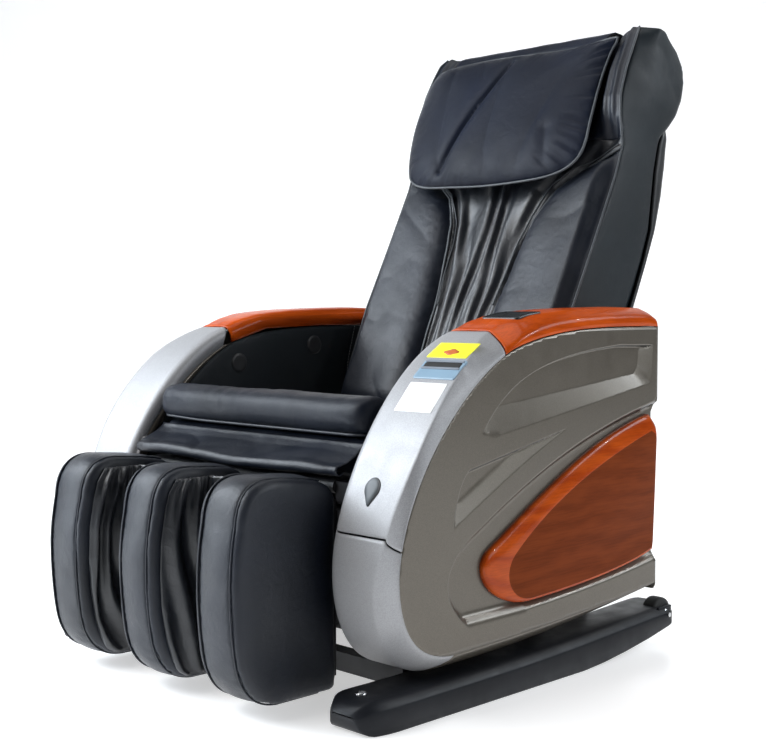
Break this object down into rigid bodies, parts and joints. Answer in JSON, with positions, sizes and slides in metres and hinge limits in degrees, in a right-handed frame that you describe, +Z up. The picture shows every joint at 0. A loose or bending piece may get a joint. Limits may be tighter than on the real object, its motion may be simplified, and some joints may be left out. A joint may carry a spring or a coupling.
{
  "type": "massage chair",
  "caption": "Coin and note operated massage chair: reclining back with rollers, lifting leg rest, hinged pay door in one arm, floor runners.",
  "frame": {"origin": "middle of the chair's footprint on the floor", "axes": "+Z up, -Y towards the front (the way the sitter faces), +X to the sitter's left, the pay arm's side"},
  "size_m": [0.8, 1.093, 1.1118],
  "materials": {
    "silver_paint": "satin metallic",
    "wood_gloss": "high gloss lacquer",
    "black_leather": "semi gloss, fine grain",
    "side_leather": "semi matt, fine grain",
    "black_shell": "satin",
    "runner_plastic": "satin gloss",
    "frame_steel": "powder coat",
    "bright_steel": "bright",
    "wheel_rubber": "matt",
    "grey_plastic": "satin",
    "window": "gloss"
  },
  "bodies": {
    "base": {"arm_shell_left": "silver_paint", "arm_shell_right": "silver_paint", "front_cover_right": "silver_paint", "lower_cover_left": "silver_paint", "lower_cover_right": "silver_paint", "arm_cap_left": "wood_gloss", "arm_cap_right": "wood_gloss", "side_insert_left": "wood_gloss", "side_insert_right": "wood_gloss", "arm_inner_panel_left": "black_leather", "arm_inner_panel_right": "black_leather", "seat_cushion": "black_leather", "thigh_roll": "black_leather", "seat_flap": "black_leather", "air_pump": "black_shell", "rear_cover": "black_shell", "power_inlet": "black_shell", "runner_left": "runner_plastic", "runner_right": "runner_plastic", "base_frame": "frame_steel", "cash_box": "frame_steel", "wheel_axle_left": "bright_steel", "wheel_axle_right": "bright_steel", "control_box": "grey_plastic", "display_window": "window"},
    "door": {"front_door_left": "silver_paint", "bill_bezel": "grey_plastic", "bill_validator": "black_shell", "lock_escutcheon": "grey_plastic"},
    "lock": {"lock_barrel": "bright_steel"},
    "wheel_left": {"transport_wheel_left": "wheel_rubber"},
    "wheel_right": {"transport_wheel_right": "wheel_rubber"},
    "switch": {"power_switch": "wheel_rubber"},
    "back": {"back_frame": "frame_steel", "back_shell": "black_shell", "back_side_left": "side_leather", "back_side_right": "side_leather", "back_pad": "black_leather", "bolster_left": "black_leather", "bolster_right": "black_leather", "back_hood": "black_leather"},
    "pillow": {"head_pillow": "black_leather"},
    "carriage": {"massage_carriage": "frame_steel", "massage_motor": "bright_steel"},
    "knead_left": {"kneading_arm_left": "frame_steel"},
    "knead_right": {"kneading_arm_right": "frame_steel"},
    "roller_ul": {"roller_upper_left": "grey_plastic"},
    "roller_ll": {"roller_lower_left": "grey_plastic"},
    "roller_ur": {"roller_upper_right": "grey_plastic"},
    "roller_lr": {"roller_lower_right": "grey_plastic"},
    "legrest": {"legrest_frame": "frame_steel", "calf_pad_left": "black_leather", "calf_pad_centre": "black_leather", "calf_pad_right": "black_leather", "calf_liner_left": "black_leather", "calf_liner_right": "black_leather"},
    "leg_actuator": {"leg_actuator_body": "black_shell"},
    "leg_rod": {"leg_actuator_rod": "bright_steel"},
    "back_actuator": {"back_actuator_body": "black_shell"},
    "back_rod": {"back_actuator_rod": "bright_steel"}
  },
  "joints": [
    {"name": "back_recline", "type": "hinge", "parent": "base", "child": "back", "pos_m": [-0.005, 0.15122, 0.34], "axis": [-1, 0, 0], "range_deg": [0, 45]},
    {"name": "legrest_lift", "type": "hinge", "parent": "base", "child": "legrest", "pos_m": [-0.005, -0.32877, 0.322], "axis": [-1, 0, 0], "range_deg": [0, 75], "deforming": ["seat_flap"]},
    {"name": "pillow_flip", "type": "hinge", "parent": "back", "child": "pillow", "pos_m": [-0.005, 0.42993, 1.10305], "axis": [-1, 0, 0], "range_deg": [0, 150]},
    {"name": "door_open", "type": "hinge", "parent": "base", "child": "door", "pos_m": [0.334, -0.13878, 0.554], "axis": [-1, 0, 0], "range_deg": [0, 70]},
    {"name": "lock_turn", "type": "hinge", "parent": "door", "child": "lock", "pos_m": [0.326, -0.36878, 0.326], "axis": [0, 0.9135, -0.4067], "range_deg": [0, 90]},
    {"name": "wheel_left_spin", "type": "hinge", "parent": "base", "child": "wheel_left", "pos_m": [0.37, 0.29823, 0.052], "axis": [1, 0, 0], "continuous": true},
    {"name": "wheel_right_spin", "type": "hinge", "parent": "base", "child": "wheel_right", "pos_m": [-0.37, 0.29823, 0.052], "axis": [1, 0, 0], "continuous": true},
    {"name": "switch_rock", "type": "hinge", "parent": "base", "child": "switch", "pos_m": [-0.15, 0.23023, 0.11], "axis": [1, 0, 0], "range_deg": [-8, 8]},
    {"name": "carriage_travel", "type": "slide", "parent": "back", "child": "carriage", "axis": [0, 0.4384, 0.8988], "range_m": [-0.13, 0.2]},
    {"name": "knead_left_rock", "type": "hinge", "parent": "carriage", "child": "knead_left", "pos_m": [0.043, 0.29712, 0.60262], "axis": [1, 0, 0], "range_deg": [-5, 5]},
    {"name": "knead_right_rock", "type": "hinge", "parent": "carriage", "child": "knead_right", "pos_m": [-0.053, 0.29712, 0.60262], "axis": [1, 0, 0], "range_deg": [-5, 5]},
    {"name": "roller_upper_left_spin", "type": "hinge", "parent": "knead_left", "child": "roller_ul", "pos_m": [0.029, 0.31452, 0.65199], "axis": [1, 0, 0], "continuous": true},
    {"name": "roller_lower_left_spin", "type": "hinge", "parent": "knead_left", "child": "roller_ll", "pos_m": [0.029, 0.26893, 0.55852], "axis": [1, 0, 0], "continuous": true},
    {"name": "roller_upper_right_spin", "type": "hinge", "parent": "knead_right", "child": "roller_ur", "pos_m": [-0.039, 0.31452, 0.65199], "axis": [1, 0, 0], "continuous": true},
    {"name": "roller_lower_right_spin", "type": "hinge", "parent": "knead_right", "child": "roller_lr", "pos_m": [-0.039, 0.26893, 0.55852], "axis": [1, 0, 0], "continuous": true},
    {"name": "leg_actuator_swing", "type": "hinge", "parent": "base", "child": "leg_actuator", "pos_m": [-0.097, -0.17677, 0.104], "axis": [-1, 0, 0], "range_deg": [-3.22, 0.5]},
    {"name": "leg_rod_slide", "type": "slide", "parent": "leg_actuator", "child": "leg_rod", "axis": [0, -0.7314, 0.682], "range_m": [-0.001, 0.0978]},
    {"name": "back_actuator_swing", "type": "hinge", "parent": "base", "child": "back_actuator", "pos_m": [0.087, -0.14877, 0.25], "axis": [-1, 0, 0], "range_deg": [-1.12, 0.5]},
    {"name": "back_rod_slide", "type": "slide", "parent": "back_actuator", "child": "back_rod", "axis": [0, 0.9988, 0.0485], "range_m": [-0.0622, 0.001]}
  ],
  "couplings": [
    {"joint": "knead_right_rock", "follows": "knead_left_rock", "ratio": -1},
    {"joint": "leg_actuator_swing", "follows": "legrest_lift", "ratio": -0.03622},
    {"joint": "leg_rod_slide", "follows": "legrest_lift", "m_per_rad": 0.07397},
    {"joint": "back_actuator_swing", "follows": "back_recline", "ratio": -0.0138},
    {"joint": "back_rod_slide", "follows": "back_recline", "m_per_rad": -0.07791}
  ]
}
